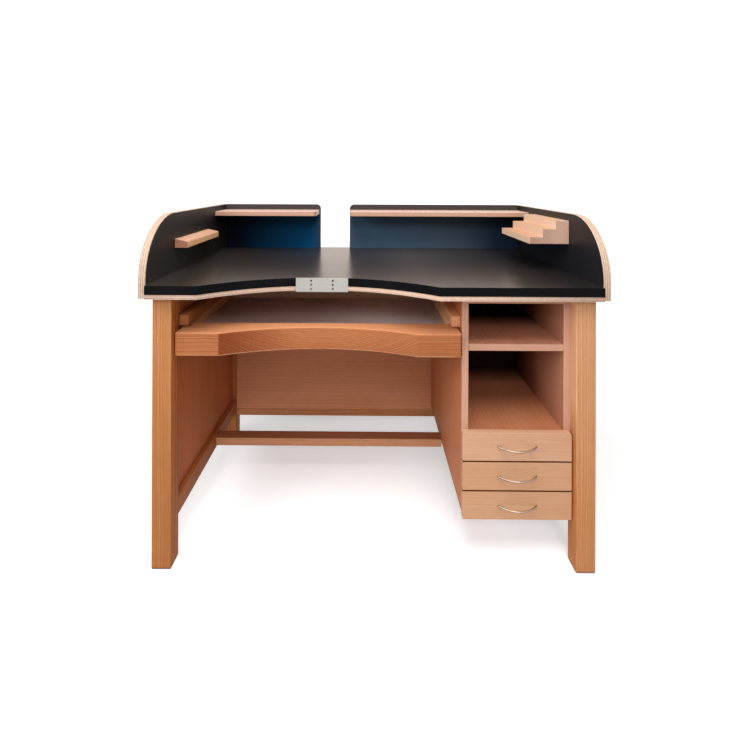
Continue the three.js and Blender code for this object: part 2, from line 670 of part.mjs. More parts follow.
// Pull-out tray
function addTray(tray) {
  const outerLeftX = kneeLeftX + trayWallInset;
  const outerRightX = kneeRightX - trayWallInset;
  const innerLeftX = outerLeftX + trayWallThickness;
  const innerRightX = outerRightX - trayWallThickness;
  const wallY = [trayFrontBackY, trayInsideBackY + trayWallThickness];
  const left = trayWallOutline(outerLeftX, innerLeftX);
  const right = trayWallOutline(outerRightX, innerRightX);
  const back = trayWallOutline(trayInsideBackY + trayWallThickness, trayInsideBackY);
  const floor = board(
    [innerLeftX - trayGroove, innerRightX + trayGroove],
    [trayFrontBackY, trayInsideBackY + trayGroove],
    [trayFloorBottom, trayFloorTop],
  );
  const front = extrude(trayFrontOutline(), 'z', trayFrontTop - trayFrontHeight, trayFrontTop, fineArc);
  addPiece(tray, 'tray_front', front, 'beechPost');
  addPiece(tray, 'tray_side_left', extrude(left, 'y', ...wallY), 'beechPanel');
  addPiece(tray, 'tray_side_right', extrude(right, 'y', ...wallY), 'beechPanel');
  addPiece(tray, 'tray_back', extrude(back, 'x', innerLeftX, innerRightX), 'beechPanel');
  addPiece(tray, 'tray_floor', floor, 'trayLaminate');
}

// Kickers over the tray's side walls and runners under them, on the left panel and on the cabinet
function addTrayGuides(tray) {
  const kickerY = [frontPostRearY + kickerPostGap, rearPostFrontY];
  const runnerY = [trayFrontBackY + trayRunnerGap, rearPostFrontY];
  const kickerZ = [kickerBottom, kickerBottom + kickerHeight];
  const runnerZ = [trayRunnerTop - trayRunnerHeight, trayRunnerTop];
  const guides = [
    { word: 'left', wall: -sidePanelX, knee: kneeLeftX, inward: 1 },
    { word: 'right', wall: kneeRightX, knee: kneeRightX, inward: -1 },
  ];
  for (const { word, wall, knee, inward } of guides) {
    const kickerX = [wall, knee + inward * kickerReach].sort((a, b) => a - b);
    const runnerX = [wall, knee + inward * trayRunnerReach].sort((a, b) => a - b);
    addPiece(tray, `tray_kicker_${word}`, board(kickerX, kickerY, kickerZ), 'beechPost');
    addPiece(tray, `tray_runner_${word}`, board(runnerX, runnerY, runnerZ), 'beechPost');
  }
}

const base = addGroup('base');
addPosts(base);
addSideFrames(base);
addBack(base);
addFootrest(base);

const top = addGroup('top');
addWorktop(top);
addPinPlate(top);
addWings(top);
addBackBoards(top);
addSlopedRest(top);
addStepRest(top);

const cabinet = addGroup('cabinet');
addCabinet(cabinet);
for (let number = 1; number <= drawerCount; number += 1) {
  addDrawer(cabinet, number);
}

const tray = addGroup('tray');
addTray(tray);
addTrayGuides(tray);

export default bench;
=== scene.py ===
import math
import bpy
import numpy as np
from mathutils import Euler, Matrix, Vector


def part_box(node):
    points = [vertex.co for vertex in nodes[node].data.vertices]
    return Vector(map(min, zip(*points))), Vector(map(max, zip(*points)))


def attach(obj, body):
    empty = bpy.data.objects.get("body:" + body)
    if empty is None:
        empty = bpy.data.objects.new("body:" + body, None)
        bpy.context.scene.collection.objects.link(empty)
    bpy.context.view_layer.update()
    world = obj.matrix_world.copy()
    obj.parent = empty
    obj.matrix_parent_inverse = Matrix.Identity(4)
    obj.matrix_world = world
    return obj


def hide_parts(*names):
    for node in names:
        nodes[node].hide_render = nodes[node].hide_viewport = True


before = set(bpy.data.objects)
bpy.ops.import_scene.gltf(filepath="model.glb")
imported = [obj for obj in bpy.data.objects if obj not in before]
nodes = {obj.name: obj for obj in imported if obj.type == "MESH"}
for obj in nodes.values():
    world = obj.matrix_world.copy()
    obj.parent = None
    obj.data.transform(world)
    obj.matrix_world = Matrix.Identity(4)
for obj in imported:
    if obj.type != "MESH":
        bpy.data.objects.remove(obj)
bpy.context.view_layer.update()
scene = bpy.context.scene
mm = 0.001
print("frame loaded:", len(nodes), "nodes")


# camera: level, with the photograph's shift
view = {
    "place": (-0.023, -1.706, 1.224),
    "turnDeg": 0.4,  # towards the left
    "rollDeg": 0.2,
    "focalPx": 430,
    "middlePx": (363.6, 181),
    "imagePx": 750,
    "sensorMm": 36,
}


def addCamera():
    data = bpy.data.cameras.new("camera")
    data.sensor_width = view["sensorMm"]
    data.lens = view["focalPx"] / view["imagePx"] * view["sensorMm"]
    data.shift_x = (view["imagePx"] / 2 - view["middlePx"][0]) / view["imagePx"]
    data.shift_y = (view["middlePx"][1] - view["imagePx"] / 2) / view["imagePx"]
    camera = bpy.data.objects.new("camera", data)
    camera.location = view["place"]
    turn = Euler((0, 0, math.radians(view["turnDeg"]))).to_matrix()
    tilt = Euler((math.radians(90), 0, 0)).to_matrix()
    roll = Euler((0, 0, math.radians(view["rollDeg"]))).to_matrix()
    camera.rotation_euler = (turn @ tilt @ roll).to_euler()
    scene.collection.objects.link(camera)
    scene.camera = camera


addCamera()
print("camera set")


# materials
def linearColor(hexText):  # sRGB hex to linear RGBA
    srgb = np.array([int(hexText[i:i + 2], 16) for i in (1, 3, 5)]) / 255
    linear = np.where(srgb <= 0.04045, srgb / 12.92, ((srgb + 0.055) / 1.055) ** 2.4)
    return (*linear.tolist(), 1.0)


def addNode(tree, kind, settings=None, links=None):
    node = tree.nodes.new("ShaderNode" + kind)
    for key, value in (settings or {}).items():
        if key == "stops":
            ramp = node.color_ramp.elements
            while len(ramp) < len(value):
                ramp.new(0.5)
            for stop, (place, color) in zip(ramp, value):
                stop.position = place
                stop.color = color
        elif isinstance(key, str) and hasattr(node, key):
            setattr(node, key, value)
        else:
            node.inputs[key].default_value = value
    for key, source in (links or {}).items():
        tree.links.new(source, node.inputs[key])
    return node


def startMaterial(name, shader):
    material = bpy.data.materials.new(name)
    material.use_nodes = True
    tree = material.node_tree
    tree.nodes.clear()
    coords = addNode(tree, "TexCoord").outputs["Object"]
    surface = addNode(tree, "BsdfPrincipled", shader)
    addNode(tree, "OutputMaterial", links={"Surface": surface.outputs["BSDF"]})
    return material, tree, coords, surface


axes = {"x": 0, "y": 1, "z": 2}


def perAxis(grain, along, across):  # sizes in mm to a mapping's scale in repeats per metre
    scale = [1 / (across * mm)] * 3
    scale[axes[grain]] = 1 / (along * mm)
    return scale


# Steamed beech, planed and oiled: growth rings cut as fine stripes along the grain, short dark ray flecks,
# slow changes of tone along a board, satin gloss. Rings lie in tilted planes, so a curved cut shows them
# slanting. Pores and flecks are drawn about three times too coarse, so that they show in the picture.
beechGrain = {"wavyMm": (520, 70), "waveMm": 14, "poreMm": (42, 2.2), "broadMm": (900, 130),
              "fleckMm": (11, 1.7), "poreShare": 0.35, "broadShare": 0.4, "toneRange": (0.62, 1.13),
              "fleckRange": (0.6, 0.74)}


def beech(name, grain, tones, ringMm=3.4, tiltDeg=40, rings=0.5, flecks=0.3, gloss=0.55, shine=0.15, cuts=()):
    material, tree, coords, surface = startMaterial(name, {"IOR": 1.5, "Specular IOR Level": shine})
    tilt = math.radians(tiltDeg)
    normal = [0, 0, 0]
    normal[(axes[grain] + 1) % 3] = math.cos(tilt)
    normal[(axes[grain] + 2) % 3] = math.sin(tilt)
    wavyMap = addNode(tree, "Mapping", {"Scale": perAxis(grain, *beechGrain["wavyMm"])}, {"Vector": coords})
    wavy = addNode(tree, "TexNoise", {"Scale": 1, "Detail": 2}, {"Vector": wavyMap.outputs[0]})
    across = addNode(tree, "VectorMath", {"operation": "DOT_PRODUCT", 1: normal}, {0: coords})
    bent = addNode(tree, "Math", {"operation": "MULTIPLY_ADD", 1: beechGrain["waveMm"] * mm},
                   {0: wavy.outputs["Fac"], 2: across.outputs["Value"]})
    ringPlace = addNode(tree, "Math", {"operation": "MULTIPLY", 1: 1 / (ringMm * mm)}, {0: bent.outputs[0]})
    fine = {"Scale": 1, "Detail": 3, "Roughness": 0.6}
    ringTone = addNode(tree, "TexNoise", {"noise_dimensions": "1D", **fine}, {"W": ringPlace.outputs[0]})
    poreMap = addNode(tree, "Mapping", {"Scale": perAxis(grain, *beechGrain["poreMm"])}, {"Vector": coords})
    pores = addNode(tree, "TexNoise", fine, {"Vector": poreMap.outputs[0]})
    broadMap = addNode(tree, "Mapping", {"Scale": perAxis(grain, *beechGrain["broadMm"])}, {"Vector": coords})
    broad = addNode(tree, "TexNoise", {"Scale": 1, "Detail": 1}, {"Vector": broadMap.outputs[0]})
    fleckMap = addNode(tree, "Mapping", {"Scale": perAxis(grain, *beechGrain["fleckMm"])}, {"Vector": coords})
    fleckNoise = addNode(tree, "TexNoise", {"Scale": 1, "Detail": 1}, {"Vector": fleckMap.outputs[0]})
    least, most = beechGrain["fleckRange"]
    fleck = addNode(tree, "MapRange", {"From Min": least, "From Max": most, "To Max": flecks},
                    {"Value": fleckNoise.outputs["Fac"]})
    ringShare = addNode(tree, "Math", {"operation": "MULTIPLY_ADD", 1: rings, 2: 0.5 - rings / 2},
                        {0: ringTone.outputs["Fac"]})
    withPores = addNode(tree, "Math", {"operation": "MULTIPLY_ADD", 1: beechGrain["poreShare"]},
                        {0: pores.outputs["Fac"], 2: ringShare.outputs[0]})
    tone = addNode(tree, "Math", {"operation": "MULTIPLY_ADD", 1: beechGrain["broadShare"]},
                   {0: broad.outputs["Fac"], 2: withPores.outputs[0]})
    darkest, palest = beechGrain["toneRange"]
    spread = addNode(tree, "MapRange", {"From Min": darkest, "From Max": palest}, {"Value": tone.outputs[0]})
    wood = addNode(tree, "ValToRGB", {"stops": [
        (0.0, linearColor(tones[0])), (0.5, linearColor(tones[1])), (1.0, linearColor(tones[2]))]},
        {"Fac": spread.outputs[0]})
    color = addNode(tree, "Mix", {"data_type": "RGBA", 7: linearColor(tones[0])},
                    {0: fleck.outputs[0], 6: wood.outputs["Color"]})
    for cut in cuts:  # another tone on faces turned one way, towards one end of the board, or both
        shares = []
        for key in ("turned", "placed"):
            if key in cut:
                axis, start, end = cut[key]
                source = coords if key == "placed" else addNode(tree, "NewGeometry").outputs["Normal"]
                way = addNode(tree, "SeparateXYZ", links={0: source})
                part = addNode(tree, "MapRange", {"From Min": start, "From Max": end},
                               {"Value": way.outputs[axis]})
                shares.append(part.outputs[0])
        if len(shares) == 2:
            both = addNode(tree, "Math", {"operation": "MULTIPLY"}, {0: shares[0], 1: shares[1]})
            shares = [both.outputs[0]]
        other = addNode(tree, "ValToRGB", {"stops": [
            (0.2, linearColor(cut["tones"][0])), (0.8, linearColor(cut["tones"][1]))]},
            {"Fac": spread.outputs[0]})
        color = addNode(tree, "Mix", {"data_type": "RGBA"},
                        {0: shares[0], 6: color.outputs[2], 7: other.outputs["Color"]})
    rough = addNode(tree, "MapRange", {"To Min": gloss - 0.06, "To Max": gloss + 0.12},
                    {"Value": pores.outputs["Fac"]})
    bump = addNode(tree, "Bump", {"Strength": 0.35, "Distance": 0.12 * mm}, {"Height": withPores.outputs[0]})
    tree.links.new(color.outputs[2], surface.inputs["Base Color"])
    tree.links.new(rough.outputs[0], surface.inputs["Roughness"])
    tree.links.new(bump.outputs[0], surface.inputs["Normal"])
    return material


# Birch plywood, sawn and sanded: veneers show on the edge as pale and darker lines, one every 1.5 mm.
# Drawn as layers of twice that, so that they show in the picture.
def plyEdge(name, acrossAxis, tones, layerMm=3.2, grainMm=6, pale=None):
    material, tree, coords, surface = startMaterial(name, {"IOR": 1.5, "Roughness": 0.55})
    split = addNode(tree, "SeparateXYZ", links={"Vector": coords})
    layer = addNode(tree, "Math", {"operation": "MULTIPLY", 1: math.pi / (layerMm * mm)},
                    {0: split.outputs[axes[acrossAxis]]})
    stripe = addNode(tree, "Math", {"operation": "SINE"}, {0: layer.outputs[0]})
    grainMap = addNode(tree, "Mapping", {"Scale": [1 / (grainMm * mm)] * 3}, {"Vector": coords})
    grain = addNode(tree, "TexNoise", {"Scale": 1, "Detail": 3}, {"Vector": grainMap.outputs[0]})
    mixed = addNode(tree, "Math", {"operation": "MULTIPLY_ADD", 1: 0.3},
                    {0: stripe.outputs[0], 2: grain.outputs["Fac"]})
    wood = addNode(tree, "ValToRGB", {"stops": [
        (0.15, linearColor(tones[0])), (0.5, linearColor(tones[1])), (0.85, linearColor(tones[2]))]},
        {"Fac": mixed.outputs[0]})
    color = wood.outputs["Color"]
    if pale:  # painted light: paler towards one end
        darker, paler = pale["levels"]
        level = addNode(tree, "MapRange", {"From Min": pale["from"], "From Max": pale["to"],
                                           "To Min": darker, "To Max": paler}, {"Value": split.outputs["X"]})
        scaled = addNode(tree, "VectorMath", {"operation": "SCALE"}, {0: color, "Scale": level.outputs[0]})
        color = scaled.outputs[0]
    bump = addNode(tree, "Bump", {"Strength": 0.3, "Distance": 0.1 * mm}, {"Height": mixed.outputs[0]})
    tree.links.new(color, surface.inputs["Base Color"])
    tree.links.new(bump.outputs[0], surface.inputs["Normal"])
    return material


# Decorative laminate, pressed with a fine matt texture: an even face with a soft satin gloss, faint clouds
# from wiping, and a fine pebble in the surface, drawn coarse enough to show.
def laminate(name, tones, gloss, specular=0.5, strip=None, cloudMm=120, pebbleMm=1.5):
    material, tree, coords, surface = startMaterial(name, {"IOR": 1.5, "Specular IOR Level": specular})
    cloudMap = addNode(tree, "Mapping", {"Scale": [1 / (cloudMm * mm)] * 3}, {"Vector": coords})
    cloud = addNode(tree, "TexNoise", {"Scale": 1, "Detail": 4}, {"Vector": cloudMap.outputs[0]})
    pebbleMap = addNode(tree, "Mapping", {"Scale": [1 / (pebbleMm * mm)] * 3}, {"Vector": coords})
    pebble = addNode(tree, "TexNoise", {"Scale": 1, "Detail": 2}, {"Vector": pebbleMap.outputs[0]})
    if "places" in tones:  # painted light and shade: from tone to tone along one axis
        first, last = tones["places"][0], tones["places"][-1]
        way = addNode(tree, "SeparateXYZ", links={0: coords})
        along = addNode(tree, "MapRange", {"From Min": first, "From Max": last},
                        {"Value": way.outputs[tones["axis"]]})
        stops = [((place - first) / (last - first), linearColor(tone))
                 for place, tone in zip(tones["places"], tones["tones"])]
        color = addNode(tree, "ValToRGB", {"stops": stops}, {"Fac": along.outputs[0]}).outputs["Color"]
    else:
        share = addNode(tree, "MapRange", {"From Min": 0.3, "From Max": 0.7}, {"Value": cloud.outputs["Fac"]})
        dark, pale = [linearColor(tone) for tone in tones]
        mixed = addNode(tree, "Mix", {"data_type": "RGBA", 6: dark, 7: pale}, {0: share.outputs[0]})
        color = mixed.outputs[2]
    if strip:  # above this height the sheet is plain dark grey
        height = addNode(tree, "SeparateXYZ", links={0: coords}).outputs["Z"]
        above = addNode(tree, "MapRange", {"From Min": strip["from"] - mm, "From Max": strip["from"]},
                        {"Value": height})
        color = addNode(tree, "Mix", {"data_type": "RGBA", 7: linearColor(strip["tone"])},
                        {0: above.outputs[0], 6: color}).outputs[2]
    rough = addNode(tree, "MapRange", {"To Min": gloss - 0.02, "To Max": gloss + 0.02},
                    {"Value": cloud.outputs["Fac"]})
    bump = addNode(tree, "Bump", {"Strength": 0.1, "Distance": 0.04 * mm}, {"Height": pebble.outputs["Fac"]})
    tree.links.new(color, surface.inputs["Base Color"])
    tree.links.new(rough.outputs[0], surface.inputs["Roughness"])
    tree.links.new(bump.outputs[0], surface.inputs["Normal"])
    return material


# Metal finished by grinding or plating: fine lines along one axis, drawn coarse enough to show.
def finishedMetal(name, grain, tones, gloss, lineMm=(30, 0.8), underShade=None):
    material, tree, coords, surface = startMaterial(name, {"Metallic": 1})
    lineMap = addNode(tree, "Mapping", {"Scale": perAxis(grain, *lineMm)}, {"Vector": coords})
    lines = addNode(tree, "TexNoise", {"Scale": 1, "Detail": 3}, {"Vector": lineMap.outputs[0]})
    color = addNode(tree, "ValToRGB", {"stops": [(0.3, linearColor(tones[0])), (0.7, linearColor(tones[1]))]},
                    {"Fac": lines.outputs["Fac"]}).outputs["Color"]
    if underShade:  # painted shade: darker on the underside
        way = addNode(tree, "SeparateXYZ", links={0: addNode(tree, "NewGeometry").outputs["Normal"]})
        low = addNode(tree, "MapRange", {"From Min": underShade["from"], "From Max": underShade["to"]},
                      {"Value": way.outputs["Z"]})
        color = addNode(tree, "Mix", {"data_type": "RGBA", 7: linearColor(underShade["tone"])},
                        {0: low.outputs[0], 6: color}).outputs[2]
    rough = addNode(tree, "MapRange", {"To Min": gloss - 0.06, "To Max": gloss + 0.1},
                    {"Value": lines.outputs["Fac"]})
    bump = addNode(tree, "Bump", {"Strength": 0.2, "Distance": 0.02 * mm}, {"Height": lines.outputs["Fac"]})
    tree.links.new(color, surface.inputs["Base Color"])
    tree.links.new(rough.outputs[0], surface.inputs["Roughness"])
    tree.links.new(bump.outputs[0], surface.inputs["Normal"])
    return material


# tones of the woods, from dark to pale
leftPostTones = ("#955729", "#A56839", "#B47A4C")
rightPostTones = ("#A7683B", "#B87B4D", "#C68E60")
sideRailTones = ("#84471F", "#98592E", "#A86C40")
railTones = ("#A4643A", "#B87A50", "#C68D64")
trayTones = ("#8A4F2E", "#A96742", "#BE8356")
panelTones = ("#9C532B", "#AD643A", "#BC754A")
backTones = ("#B6704E", "#C98763", "#D79977")
topFrontTones = ("#BD8766", "#C79878", "#D2AA8D")
frontTones = ("#B9815D", "#C3926F", "#CEA484")
shelfTones = ("#AD7E63", "#B88E76", "#C39D89")
slopedTones = ("#BE8D6F", "#CD9F82", "#D8B094")
stepTones = ("#EEC2A4", "#FAD6B8", "#FFE4CA")
sideTones = ("#A05C34", "#B6714B", "#C6865F")
floorTones = ("#975838", "#AF704E", "#BF8463")
insideTones = ("#9D6347", "#B47B61", "#C49079")

# cuts: other tones that come in over a range of facing (turned) or of place in metres (placed)
frontBand = {"turned": ("Y", -0.6, -0.8), "tones": ("#B9866E", "#C99B85")}
slopedEnd = {"turned": ("Y", -0.6, -0.8), "tones": ("#8A5C48", "#AE7B62")}
# painted light: the sloped rest's inner face, which is in shade, made paler
litSlopedInner = {"turned": ("X", 0.6, 0.9), "tones": ("#E8A873", "#FAC596")}
stepEnd = {"turned": ("Y", -0.6, -0.8), "tones": ("#A07A67", "#C9A997")}
footrestLitFront = {"turned": ("Y", -0.6, -0.8), "tones": ("#B77F59", "#CB9470")}
# painted light: the tray's up-facing faces paler than its front
litTrayTop = {"turned": ("Z", 0.4, 0.9), "tones": ("#B0724C", "#D8976C")}
# painted light and shade: up-facing treads darker than the pale, lit risers
shadedStepTop = {"turned": ("Z", 0.6, 0.8), "tones": ("#B98C70", "#CCA386")}
# painted light: the posts paler towards the top, darker towards the floor
leftPostLitTop = {"placed": ("Z", 0.2, 0.85), "tones": ("#A56839", "#C0885B")}
rightPostLitTop = {"placed": ("Z", 0.2, 0.85), "tones": ("#B8825C", "#CF9E78")}
# painted light and shade on the right post's inner face: darker below the cabinet, paler above it
rightInnerLowShade = {"turned": ("X", -0.6, -0.8), "tones": ("#A66531", "#BC7C48")}
rightInnerUpLit = {"turned": ("X", -0.6, -0.8), "placed": ("Z", 0.4, 0.55), "tones": ("#D09A6E", "#E4B28A")}
# painted sheen: pale greyish top faces of the shelves
shelfTopSheen = {"turned": ("Z", 0.6, 0.9), "tones": ("#C49E8E", "#D4B4A8")}
# painted shade: the left post's inner face darker
postInnerShade = {"turned": ("X", 0.6, 0.8), "tones": ("#8E4F22", "#B8743E")}
# painted shade: darker at the foot of the posts, by the floor
postFootShade = {"placed": ("Z", 0.01, 0.0), "tones": ("#3E2212", "#52301C")}
compartmentShadeTones = ("#180905", "#200D08")  # painted shade: the compartments turn darker towards the back, where shade falls
compartmentShadeWall = {"placed": ("Y", -0.12, 0.13), "tones": compartmentShadeTones}
compartmentShadeShelf = {"placed": ("Y", -0.13, -0.02), "tones": compartmentShadeTones}
compartmentShadeFloor = {"placed": ("Y", 0.01, 0.15), "tones": compartmentShadeTones}
paintedGapShade = {"turned": ("Z", 0.3, 0.7), "tones": ("#5A3420", "#6E432B")}  # painted shade: dark upper edge of the lower drawer fronts, standing in for the shade in the gaps
trayUnderHighlight = {"turned": ("Z", -0.15, -0.6), "tones": ("#D8966A", "#ECB48A")}  # painted highlight: paler lower arris
hollowEnd = {"turned": ("X", 0.1, 0.34), "tones": ("#6F3418", "#94512D")}

# tones of the laminates from place to place, in metres along one axis: painted light, shade and sheen
# painted sheen and shade: paler band in the middle for the reflected white gap, darker towards the right wing
liningSheenAndShade = {"axis": "X", "places": (-0.7, -0.1, 0.02, 0.16, 0.36, 0.66),
              "tones": ("#2A2522", "#292421", "#342E2B", "#443D3A", "#332D2A", "#191617")}
# painted light: the right wing's face paler towards the top
wingPaintedLight = {"axis": "Z", "places": (0.9, 0.98, 1.07), "tones": ("#15161B", "#17171B", "#221D1B")}
# painted shadow and sheen: black at the left where the wing shades it, blue sheen towards the gap
boardLeftShadowAndSheen = {"axis": "X", "places": (-0.63, -0.3, -0.25), "tones": ("#000513", "#00446C", "#1F3E55")}
# painted sheen: grey-blue sheen on the right back board, darker towards the right wing
boardRightSheen = {"axis": "X", "places": (0.1, 0.34, 0.43, 0.6),
                  "tones": ("#3E5469", "#425161", "#3E4B5B", "#182A3C")}
# painted sheen: a paler patch right of the middle, standing in for a soft reflection
trayFloorSheen = {"axis": "X", "places": (-0.6, -0.25, 0.05, 0.25),
            "tones": ("#B29A95", "#B69E99", "#D4C7C6", "#BAAFAE")}
boardStrip = {"from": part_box("shelf_left")[1][2], "tone": "#3E3836"}

finishes = {
    "postLeftZ": beech("beech_post_left_planed_oiled", "z", leftPostTones, rings=0.95, flecks=0.45,
                       cuts=[leftPostLitTop, postInnerShade, postFootShade]),
    "postRightZ": beech("beech_post_right_planed_oiled", "z", rightPostTones, rings=0.95, flecks=0.45,
                        cuts=[rightPostLitTop, rightInnerLowShade, rightInnerUpLit, postFootShade]),
    "railX": beech("beech_rail_planed_oiled_x", "x", railTones),
    # painted shade: the footrest's top darker than its lit front
    "footrestX": beech("beech_footrest_shaded_on_top", "x", ("#8E563A", "#A26949", "#B07A5C"),
                       cuts=[footrestLitFront]),
    "railY": beech("beech_rail_planed_oiled_y", "y", railTones),
    "sideRailY": beech("beech_side_rail_planed_oiled_y", "y", sideRailTones),
    # painted light: the right kicker is a paler copy of the rail beech
    "litKickerY": beech("beech_kicker_lit_planed_y", "y", ("#C08058", "#D4966E", "#E2A880")),
    "panelX": beech("beech_veneer_panel_x", "x", backTones, ringMm=5, rings=0.35),
    "traySideY": beech("beech_tray_side_planed_y", "y", ("#D09A66", "#E2AC7A", "#ECBE90"), rings=0.35),
    "trayBackX": beech("beech_tray_back_planed_x", "x", ("#CBA284", "#DDB598", "#E8C6AC"), rings=0.35),
    "panelZ": beech("beech_veneer_panel_z", "z", panelTones, ringMm=5, rings=0.35),
    "frontX": beech("beech_front_lacquered_x", "x", topFrontTones, rings=0.35, flecks=0.2),
    "lowFrontX": beech("beech_low_front_lacquered_x", "x", frontTones, rings=0.35, flecks=0.2,
                       cuts=[paintedGapShade]),
    "shelfX": beech("beech_shelf_lacquered_x", "x", shelfTones, rings=0.35, flecks=0.2, gloss=0.36, shine=0.5,
                    cuts=[shelfTopSheen]),
    "slopedRestY": beech("beech_sloped_rest_lacquered", "y", slopedTones, rings=1.1, flecks=0.3, shine=0.03,
                         cuts=[litSlopedInner, slopedEnd]),
    "stepRestY": beech("beech_step_rest_lacquered", "y", stepTones, rings=0.45, flecks=0.2, shine=0.03,
                       cuts=[stepEnd, shadedStepTop]),
    "trayX": beech("beech_block_planed_oiled", "x", trayTones, ringMm=1.3, tiltDeg=32, rings=1.4, shine=0.06,
                   cuts=[hollowEnd, litTrayTop, trayUnderHighlight]),
    "cabinetZ": beech("beech_veneered_board_z", "z", insideTones, rings=0.35, cuts=[frontBand, compartmentShadeWall]),
    "cabinetY": beech("beech_veneered_board_y", "y", insideTones, rings=0.35, cuts=[frontBand, compartmentShadeShelf]),
    "cabinetSideZ": beech("beech_veneered_board_side_z", "z", sideTones, rings=0.35, cuts=[frontBand]),
    "cabinetFloorY": beech("beech_veneered_board_floor_y", "y", floorTones, rings=0.35,
                           cuts=[frontBand, compartmentShadeFloor]),
    "boxX": beech("birch_ply_drawer_box", "x", ("#C9A57C", "#DAB891", "#E6CAA8"), rings=0.25),
    "wingPly": plyEdge("birch_ply_edge_sanded_x", "x", ("#9F8068", "#B79D87", "#C6B09E")),
    "backPly": plyEdge("birch_ply_edge_sanded_y", "y", ("#2A2726", "#343130", "#403C3A")),
    # painted light: the underlay's edge paler towards the right
    "underPly": plyEdge("birch_ply_edge_sanded_z", "z", ("#AF8D76", "#C1A38F", "#CDB5A4"), layerMm=4,
                        pale={"from": -0.6, "to": 0.5, "levels": (0.85, 1.2)}),
    "lining": laminate("laminate_worktop_matt", liningSheenAndShade, 0.26),
    "boardEdge": laminate("edge_band_black", ("#060608", "#0D0D0F"), 0.55, 0.04),
    "cabinetBack": laminate("laminate_cabinet_back_black", ("#1B0406", "#220709"), 0.5, 0.1),
    "wingLeft": laminate("laminate_wing_left_black", ("#191614", "#1E1A18"), 0.42, 0.28),
    "wingRight": laminate("laminate_wing_right_black", wingPaintedLight, 0.42, 0.28),
    "boardLeft": laminate("laminate_back_board_left_shadow_and_blue_sheen", boardLeftShadowAndSheen, 0.5, 0.06, boardStrip),
    "boardRight": laminate("laminate_back_board_right_blue_sheen", boardRightSheen, 0.5, 0.06, boardStrip),
    "boardRear": laminate("laminate_back_board_rear_black", ("#191614", "#1E1A18"), 0.42, 0.28),
    "trayFloor": laminate("laminate_tray_grey", trayFloorSheen, 0.3),
    "plate": finishedMetal("steel_plate_ground", "x", ("#8C8A86", "#A09F9B"), 0.36),
    # painted reflection and shade: the warm tint stands in for the wood the nickel mirrors, the dark
    # underside for its shade
    "nickel": finishedMetal("nickel_plate_satin", "x", ("#8E7D72", "#B3A295"), 0.34,
                            underShade={"from": 0.25, "to": -0.3, "tone": "#3E2A1E"}),
}
print("materials made:", len(finishes))


# carried-over boards: arrises eased with a small bevel, each with its own finish
easedEdge = {"widthMm": 1.2, "steps": 2, "angleDeg": 35, "weldMm": 0.005}

boards = {
    "sideRailY": [f"side_rail_{rail}_{side}" for rail in ("lower", "upper") for side in ("left", "right")],
    "railY": ["tray_kicker_left", "tray_runner_left", "tray_runner_right",
              *[f"drawer_{n}_runner_{side}" for n in (1, 2, 3) for side in ("left", "right")]],
    "railX": ["back_rail_lower", "back_rail_upper"],
    "footrestX": ["footrest_rail"],
    "litKickerY": ["tray_kicker_right"],
    "panelX": ["back_panel"],
    "trayBackX": ["tray_back"],
    "panelZ": ["side_panel_left", "side_panel_right"],
    "traySideY": ["tray_side_left", "tray_side_right"],
    "cabinetSideZ": ["cabinet_side_left"],
    "cabinetZ": ["cabinet_side_right"],
    "cabinetBack": ["cabinet_back"],
    "cabinetY": ["cabinet_top", "cabinet_shelf", "cabinet_bottom"],
    "cabinetFloorY": ["cabinet_divider"],
    "boxX": [f"drawer_{n}_{piece}" for n in (1, 2, 3) for piece in ("box", "bottom")],
    "stepRestY": ["tool_rest_stepped"],
    "trayFloor": ["tray_floor"],
    "plate": ["pin_plate"],
}


def easeArrises(board):
    weld = board.modifiers.new("weld", "WELD")
    weld.merge_threshold = easedEdge["weldMm"] * mm
    bevel = board.modifiers.new("eased", "BEVEL")
    bevel.width = easedEdge["widthMm"] * mm
    bevel.segments = easedEdge["steps"]
    bevel.limit_method = "ANGLE"
    bevel.angle_limit = math.radians(easedEdge["angleDeg"])


for finish, names in boards.items():
    for name in names:
        board = nodes[name]
        board.data.materials.clear()
        board.data.materials.append(finishes[finish])
        easeArrises(board)
print("boards finished:", sum(len(names) for names in boards.values()))


# new pieces
def outwards(outline):  # unit normals of a closed outline, and the same stretched so that an inset stays even
    ahead = np.roll(outline, -1, 0) - outline
    ahead /= np.linalg.norm(ahead, axis=1, keepdims=True)
    right = np.stack([ahead[:, 1], -ahead[:, 0]], 1)
    both = right + np.roll(right, 1, 0)
    unit = both / np.linalg.norm(both, axis=1, keepdims=True)
    return unit, unit / np.sum(unit * right, 1, keepdims=True)


# A corner list becomes an outline: each corner (a, b, radius) is an arc that touches both of its sides.
def roundCorners(corners, steps=6):
    spots = np.array([c[:2] for c in corners], float)
    radii = np.array([c[2] for c in corners], float)[:, None]
    before = np.roll(spots, 1, 0) - spots
    after = np.roll(spots, -1, 0) - spots
    before /= np.linalg.norm(before, axis=1, keepdims=True)
    after /= np.linalg.norm(after, axis=1, keepdims=True)
    half = np.arccos(np.clip(np.sum(before * after, 1, keepdims=True), -1, 1)) / 2
    reach = radii / np.tan(half)
    middle = before + after
    middle /= np.linalg.norm(middle, axis=1, keepdims=True)
    centre = spots + middle * radii / np.sin(half)
    start = spots + before * reach - centre
    end = spots + after * reach - centre
    share = np.linspace(0, 1, steps + 1)[None, :, None]
    sweep = (math.pi - 2 * half)[:, :, None]
    arcs = np.sin((1 - share) * sweep) * start[:, None] + np.sin(share * sweep) * end[:, None]
    return (centre[:, None] + arcs / np.sin(sweep)).reshape(-1, 2)


